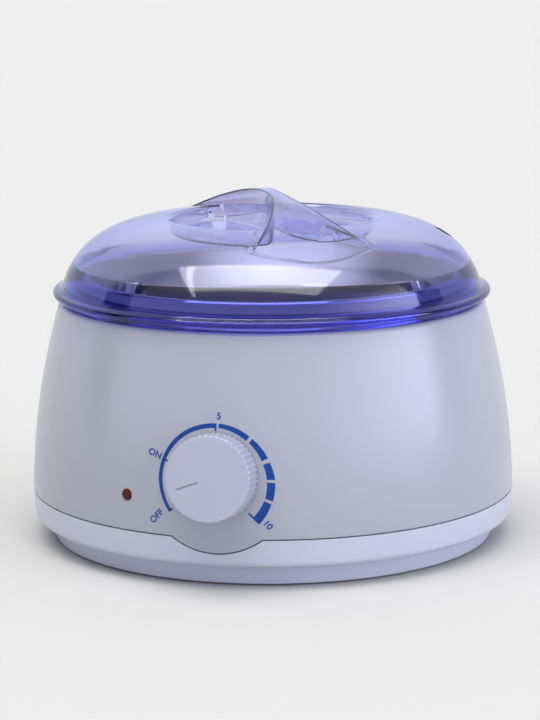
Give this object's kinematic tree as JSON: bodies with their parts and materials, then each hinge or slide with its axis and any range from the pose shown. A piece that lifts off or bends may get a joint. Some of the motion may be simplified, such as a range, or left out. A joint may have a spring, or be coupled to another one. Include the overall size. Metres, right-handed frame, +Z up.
{
  "type": "wax warmer",
  "caption": "Round electric warmer that melts wax in a lift-out pot, with a control knob, an indicator lamp and a domed see-through lid.",
  "frame": {"origin": "on the vertical axis of the pot, in the plane of the underside of the rubber foot ring, on the table", "axes": "+Z up along the pot's axis, -Y out of the casing towards the control knob, +X to the right as seen from the knob's side"},
  "size_m": [0.185, 0.2006, 0.1322],
  "materials": {
    "casing_plastic": "satin, pale blue grey",
    "base_plastic": "satin, pale blue grey",
    "foot_rubber": "matt",
    "screw_steel": "zinc plated",
    "well_aluminium": "spun and polished",
    "sleeve_felt": "woven glass fibre",
    "heater_steel": "dull",
    "strap_steel": "zinc plated",
    "nut_brass": "plain",
    "shield_aluminium": "plain sheet",
    "fuse_ceramic": "glazed",
    "clip_steel": "plain",
    "thermostat_plastic": "moulded",
    "bracket_steel": "zinc plated",
    "shaft_brass": "turned",
    "knob_plastic": "satin, pale lilac grey",
    "lens_red": "clear red",
    "lamp_glass": "clear",
    "block_plastic": "moulded",
    "gland_rubber": "matt",
    "clamp_plastic": "moulded",
    "lead_red": "insulation",
    "lead_black": "insulation",
    "lead_white": "insulation",
    "pot_aluminium": "spun, brushed inside",
    "ear_steel": "pressed",
    "rivet_aluminium": "plain",
    "bail_steel": "drawn wire",
    "lid_plastic": "clear violet-blue plastic, polished"
  },
  "bodies": {
    "warmer": {"upper_casing": "casing_plastic", "base": "base_plastic", "foot_ring": "foot_rubber", "base_screws": "screw_steel", "heating_well": "well_aluminium", "well_insulation": "sleeve_felt", "heater_ring": "heater_steel", "well_strap": "strap_steel", "strap_nut": "nut_brass", "strap_screws": "screw_steel", "heat_shield": "shield_aluminium", "thermal_fuse": "fuse_ceramic", "fuse_clip": "clip_steel", "thermostat_body": "thermostat_plastic", "thermostat_bracket": "bracket_steel", "bracket_screws": "screw_steel", "lamp_lens": "lens_red", "neon_lamp": "lamp_glass", "terminal_block": "block_plastic", "terminal_screw": "screw_steel", "cord_gland": "gland_rubber", "cord_clamp": "clamp_plastic", "clamp_screws": "screw_steel", "leads_to_heater": "lead_red", "leads_to_thermostat": "lead_black", "leads_to_lamp": "lead_white"},
    "knob": {"control_knob": "knob_plastic", "thermostat_shaft": "shaft_brass"},
    "pot": {"wax_pot": "pot_aluminium", "pot_ears": "ear_steel", "ear_rivets": "rivet_aluminium"},
    "bail": {"bail_handle": "bail_steel"},
    "lid": {"lid": "lid_plastic"}
  },
  "joints": [
    {"name": "knob_turn", "type": "hinge", "parent": "warmer", "child": "knob", "pos_m": [0, -0.09118, 0.0417], "axis": [0, 0.9914, -0.1305], "range_deg": [-13, 240]},
    {"name": "lid_lift", "type": "slide", "parent": "warmer", "child": "lid", "axis": [0, 0, 1], "range_m": [0, 0.25]},
    {"name": "pot_lift", "type": "slide", "parent": "warmer", "child": "pot", "axis": [0, 0, 1], "range_m": [0, 0.1125]},
    {"name": "bail_swing", "type": "hinge", "parent": "pot", "child": "bail", "pos_m": [0, 0, 0.0894], "axis": [-1, 0, 0], "range_deg": [0, 90]}
  ],
  "couplings": [
    {"joint": "pot_lift", "follows": "lid_lift", "ratio": 0.45},
    {"joint": "bail_swing", "follows": "lid_lift", "rad_per_m": 6.2831}
  ]
}
